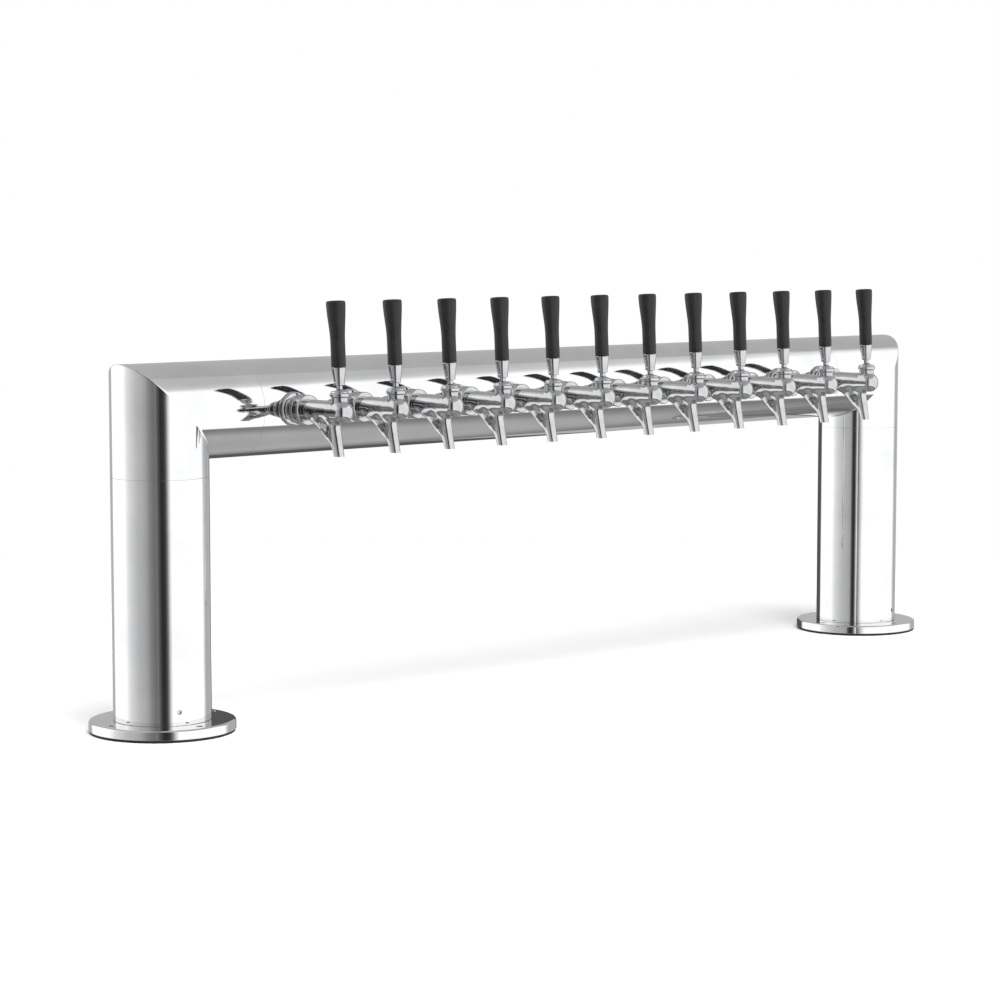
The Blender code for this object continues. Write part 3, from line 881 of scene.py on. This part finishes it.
def wall_plate():
    """The round escutcheon between shank and bar, its back shaped to the tube."""
    bore_r, outer_r, thick = 10.9, 18.0, 5.2
    wall_y = TAP_REACH - TUBE_R
    front = wall_y - GAP - thick

    def saddle(x, y, z):
        share = max(0.0, (y - front - 2.0) / (thick - 2.0))
        return x, y + share * (TUBE_R - math.sqrt(TUBE_R**2 - z**2)), z

    outline = [
        (front, bore_r, 0.3),
        (front, 12.6, 0.8),
        (front + 1.4, 14.0, 0.6),
        (front + 2.4, outer_r, 1.2),
        (front + thick, outer_r, 0.3),
        (front + thick, bore_r, 0.3),
    ]
    return turned("wall_plate", outline, TAP_STEPS, "Y", True, saddle)


def lock_nut():
    """The hexagon nut that clamps the shank from inside the bar."""
    bore_r, across_corners, chamfer = 10.7, 14.5, 1.0
    front, back = TAP_REACH - TUBE_R + 4.8, TAP_REACH - TUBE_R + 12.0
    outline = [
        (front, bore_r),
        (front, across_corners - chamfer),
        (front + chamfer, across_corners),
        (back - chamfer, across_corners),
        (back, across_corners - chamfer),
        (back, bore_r),
    ]
    return turned("lock_nut", outline, 6, "Y", True)


def lever():
    """Ball, drive arm and tip below the pivot; stem, ferrule and stud above it."""
    ball_r, tip_r, stem_r, stud_r, stud = 6.5, 2.5, 3.2, 4.0, 13.0
    outline = arc(-ARM_LENGTH, tip_r, 0, 140) + arc(0, ball_r, 15, 150, 20)
    outline += [
        (FERRULE_FOOT, stem_r, 0.5),
        (FERRULE_FOOT, 5.4, 0.6),
        (FERRULE_FOOT + 3.0, 5.9, 0.4),
        (FERRULE_FOOT + 3.6, 5.6, 0.3),
        (FERRULE_TOP - 3.2, 7.4, 0.6),
        (FERRULE_TOP - 0.4, 7.6, 0.4),
        (FERRULE_TOP, 7.2, 0.2),
        (FERRULE_TOP, stud_r, 0.3),
        (FERRULE_TOP + stud, stud_r, 0.8),
        (FERRULE_TOP + stud, 0),
    ]
    return turned("lever", outline, TAP_STEPS)


def handle():
    """The moulded grip: parallel below, flared above and a little more at the back, with a soft crown."""
    foot_r, head_r, hole_r, hole_depth, crown, lean_back, rings = 7.6, 10.1, 4.5, 15.0, 2.2, 0.9, 16
    low = FERRULE_TOP + GAP
    top = HANDLE_TOP - 0.5

    def flare(along):
        share = min(1.0, max(0.0, (along - low) / (top - low) * 1.6 - 0.6))
        return share * share * (3 - 2 * share)

    outline = [(low + hole_depth, 0), (low + hole_depth, hole_r, 0.4)]
    outline += [(low, hole_r, 0.3), (low, foot_r, 0.5)]
    for k in range(1, rings):
        along = low + (top - crown - low) * k / rings
        outline.append((along, foot_r + (head_r - foot_r) * flare(along)))
    outline += [(top, head_r, crown), (HANDLE_TOP, head_r * 0.45, 1.0), (HANDLE_TOP, 0)]

    def to_the_back(x, y, z):
        return x, y + lean_back * flare(z), z

    return turned("handle", outline, TAP_STEPS, shift=to_the_back)


def valve_shaft():
    """The sliding rod: a guided head that the lever's tip drives, and a seat for the seal."""
    head_front, head_back, head_r, head_top, rod_r = -7.0, 5.5, 6.0, 4.8, 3.0
    tip_y = ARM_LENGTH * math.sin(REST_LEAN)
    outline = [
        (head_front, 0),
        (head_front, head_r, 0.6),
        (head_back, head_r, 0.6),
        (head_back, rod_r, 0.3),
        (SEAT_BACK + 0.2, rod_r, 0.2),
        (SEAT_BACK + 4.6, rod_r, 0.8),
        (SEAT_BACK + 4.6, 0),
    ]
    rod = turned("valve_rod", outline, TAP_STEPS, "Y")
    flat = block("head_flat", (-9, head_front - 1, head_top), (9, head_back + 1, 9))
    slot = slot_cutter("tip_slot", tip_y - 2.9, tip_y + 2.9, 2.89, -3.5, 9)
    return combined("valve_shaft", rod, [("DIFFERENCE", flat), ("DIFFERENCE", slot)])


def valve_seal():
    """The moulded rubber washer that closes the seat."""
    front, back, bore_r, outer_r = SEAT_BACK + GAP, SEAT_BACK + 2.8, 3.1, 7.0
    outline = [(front, bore_r, 0.2), (front, outer_r - 0.4, 0.6), (front + 0.9, outer_r, 0.4)]
    outline += [(back, outer_r, 0.8), (back, bore_r, 0.2)]
    return turned("valve_seal", outline, TAP_STEPS, "Y", True)


def taps(origins, chrome, steel, black, rubber):
    """Twelve taps that share their meshes, each on its own CAD bodies."""
    fixed = [
        ("casting", tap_casting(), chrome),
        ("bonnet", bonnet(), chrome),
        ("coupling_nut", coupling_nut(), chrome),
        ("shank", threaded_shank(), steel),
        ("wall_plate", wall_plate(), chrome),
        ("lock_nut", lock_nut(), steel),
    ]
    lever_mesh, handle_mesh, shaft, seal = lever(), handle(), valve_shaft(), valve_seal()
    for tag, origin in origins:
        for part, mesh, finish in fixed:
            stands_for = [f"{tag}_body"] if part == "casting" else ()
            place(f"{tag}_{part}", mesh, finish, at=origin, stands_for=stands_for)
        pivot = Vector(origin) + Vector((0, 0, PIVOT_RISE))
        swing, slide = f"{tag}_lever_set", f"{tag}_valve"
        place(f"{tag}_pull_lever", lever_mesh, chrome, swing, [f"{tag}_lever"], pivot, REST_LEAN)
        place(f"{tag}_grip", handle_mesh, black, swing, [f"{tag}_handle"], pivot, REST_LEAN)
        place(f"{tag}_valve_rod", shaft, steel, slide, [f"{tag}_valve_shaft"], origin)
        place(f"{tag}_valve_seal", seal, rubber, slide, (), origin)


# ---- Studio -----------------------------------------------------------------------------------


def surroundings():
    """A white backdrop for the camera, and for reflections a room that turns dim behind the camera.

    The room is (degrees, brightness) stops. Azimuths run from the camera's own direction, positive
    to its right, and elevations from the horizon.
    """
    white, grey = 1.35, 0.52
    walls = [(-180, grey), (-137, grey), (-133, white), (-84, white)]
    walls += [(-73, 0.96), (-64, 0.82), (-48, 0.62), (-33, 0.52), (-25, 0.43), (-18, 0.3), (-11, 0.23)]
    walls += [(-4, 0.18), (0, 0.5), (8, 1.2), (12, white), (119, white), (131, grey), (180, grey)]
    levels = [(-90, 0.3), (-46.7, 0.5), (-44, 0.46), (-41, 0.36), (-36.5, 0.26), (-33.2, 0.24)]
    levels += [(-32, white), (37, white), (42, 0.78), (47, 0.64), (60, 0.58)]
    world = bpy.data.worlds.new("studio")
    bpy.context.scene.world = world
    world.use_nodes = True
    nodes = Nodes(world.node_tree)
    direction = nodes.add("ShaderNodeTexCoord").outputs["Generated"]
    axes = nodes.add("ShaderNodeSeparateXYZ", {0: direction}).outputs
    azimuth = nodes.math("ARCTAN2", axes["X"], nodes.math("MULTIPLY", axes["Y"], -1.0))
    azimuth = nodes.math("SUBTRACT", azimuth, math.radians(VIEW_AZIMUTH))
    azimuth = nodes.math("WRAP", azimuth, math.pi, -math.pi)
    around = nodes.spread(azimuth, 0, 1, -math.pi, math.pi)
    room = nodes.ramp(around, [(degrees / 360 + 0.5, level / white) for degrees, level in walls])
    height = nodes.spread(nodes.math("ARCSINE", axes["Z"]), 0, 1, -math.pi / 2, math.pi / 2)
    bands = nodes.ramp(height, [(degrees / 180 + 0.5, level / white) for degrees, level in levels])
    darker = {"data_type": "RGBA", "blend_type": "DARKEN"}
    room = nodes.add("ShaderNodeMix", {"Factor": 1.0, "A": room, "B": bands}, **darker)
    room = room.outputs["Result"]
    seen = nodes.add("ShaderNodeLightPath").outputs["Is Camera Ray"]
    reflected = nodes.add("ShaderNodeBackground", {"Color": room, "Strength": white}).outputs[0]
    plain = nodes.add("ShaderNodeBackground", {"Color": (1, 1, 1, 1), "Strength": 1.0}).outputs[0]
    mix = nodes.add("ShaderNodeMixShader", {0: seen, 1: reflected, 2: plain}).outputs[0]
    nodes.tree.links.new(mix, nodes.tree.nodes["World Output"].inputs["Surface"])


def card(name, start, stop, low, high, levels):
    """An upright card that only mirror reflections see, glowing by (share of its width, level) stops."""
    corners = [(*start, low), (*stop, low), (*stop, high), (*start, high)]
    mesh = bpy.data.meshes.new(name)
    mesh.from_pydata(corners, [], [(0, 1, 2, 3)])
    mesh.uv_layers.new().data.foreach_set("uv", [0, 0, 1, 0, 1, 1, 0, 1])
    material, nodes, shader = new_material(name, "", Base_Color=(0, 0, 0, 1), Roughness=1.0)
    across = nodes.add("ShaderNodeTexCoord").outputs["UV"]
    across = nodes.add("ShaderNodeSeparateXYZ", {0: across}).outputs["X"]
    connect(nodes, shader, Emission_Color=nodes.ramp(across, levels))
    shader.inputs["Emission Strength"].default_value = 1.0
    mesh.materials.append(material)
    made = bpy.data.objects.new(name, mesh)
    bpy.context.scene.collection.objects.link(made)
    made.visible_camera = False
    made.visible_diffuse = False
    made.visible_shadow = False


def floor():
    """A pale round floor that fades into the backdrop. Reflections look past it, to the studio."""
    radius, fade_from, fade_to = 2.4, 0.7, 1.5
    bm = bmesh.new()
    bmesh.ops.create_circle(bm, cap_ends=True, segments=96, radius=radius)
    mesh = bpy.data.meshes.new("floor")
    bm.to_mesh(mesh)
    bm.free()
    material, nodes, shader = new_material("pale_floor", "", Metallic=0.0, Roughness=0.9)
    dust = nodes.noise(3.0, 4.0)
    colour = nodes.tint(nodes.spread(dust, 0, 1), (0.90, 0.90, 0.90), (0.92, 0.92, 0.92))
    connect(nodes, shader, Base_Color=colour)
    where = nodes.add("ShaderNodeTexCoord").outputs["Object"]
    away = nodes.add("ShaderNodeVectorMath", {0: where}, operation="LENGTH").outputs["Value"]
    connect(nodes, shader, Alpha=nodes.spread(away, 1, 0, fade_from, fade_to))
    mesh.materials.append(material)
    ground = bpy.data.objects.new("floor", mesh)
    bpy.context.scene.collection.objects.link(ground)
    ground.location = (0, 0, cad_lo.z)
    ground.visible_glossy = False


def soft_light(name, at, size, power):
    """A large soft panel aimed at the tower, kept out of mirror reflections."""
    light = bpy.data.lights.new(name, "AREA")
    light.shape = "DISK"
    light.size = size
    light.energy = power
    lamp = bpy.data.objects.new(name, light)
    bpy.context.scene.collection.objects.link(lamp)
    lamp.location = at
    lamp.rotation_mode = "QUATERNION"
    lamp.rotation_quaternion = (Vector((0, 0, 0.2)) - Vector(at)).to_track_quat("-Z", "Y")
    lamp.visible_glossy = False


def camera():
    """The camera behind the reference view: ahead of the tower's left end and a little above it."""
    data = bpy.data.cameras.new("camera")
    data.lens = VIEW_LENS
    data.sensor_width = 36.0
    data.clip_end = 100.0
    made = bpy.data.objects.new("camera", data)
    bpy.context.scene.collection.objects.link(made)
    turn, pitch = math.radians(VIEW_AZIMUTH), math.radians(VIEW_PITCH)
    back = Vector((math.sin(turn) * math.cos(pitch), -math.cos(turn) * math.cos(pitch), math.sin(pitch)))
    made.location = Vector(VIEW_TARGET) + back * VIEW_DISTANCE
    made.rotation_mode = "QUATERNION"
    made.rotation_quaternion = (-back).to_track_quat("-Z", "Y")
    bpy.context.scene.camera = made


def build():
    """Models the pieces round the frame, then sets up the studio and the camera."""
    upright, level = polished_steel("polished_upright", "Z"), polished_steel("polished_level", "X")
    chrome, steel = chrome_plate(), machined_steel()
    black, rubber, foam = handle_plastic(), gasket_rubber(), foam_jacket()
    tags = sorted(node[: -len("_body")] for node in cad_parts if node.endswith("_body"))
    origins = []
    for tag in tags:
        low, high = box_mm(f"{tag}_body")
        origins.append((tag, ((low.x + high.x) / 2, low.y + TAP_NOSE, BAR_Z)))
    tap_xs = sorted(origin[0] for _, origin in origins)
    crossbar(level, tap_xs)
    cooling_rail(steel, tap_xs)
    for side_name, side in SIDES:
        elbow(side_name, side, upright)
        column(side_name, side, upright, steel)
        foot(side_name, side, upright, rubber)
        line_trunk(side_name, side, foam)
    taps(origins, chrome, steel, black, rubber)
    surroundings()
    floor()
    front_levels = [(0, 0.24), (0.11, 0.16), (0.217, 0.08), (0.377, 0.02), (0.555, 0.03)]
    front_levels += [(0.662, 0.08), (0.778, 0.3), (0.911, 0.9), (1, 1)]
    card("front_card", (-1.43, -0.812), (-0.834, -1.19), -0.7, 1.6, front_levels)
    card("rear_card", (0.5, 1.53), (1.7, 1.53), -1.3, 0.5, [(0, 0.3), (0.08, 0.09), (1, 0.09)])
    soft_light("top_panel", (-0.8, -1.6, 3.0), 3.0, 150.0)
    camera()


build()
bpy.context.scene.view_settings.view_transform = "Standard"
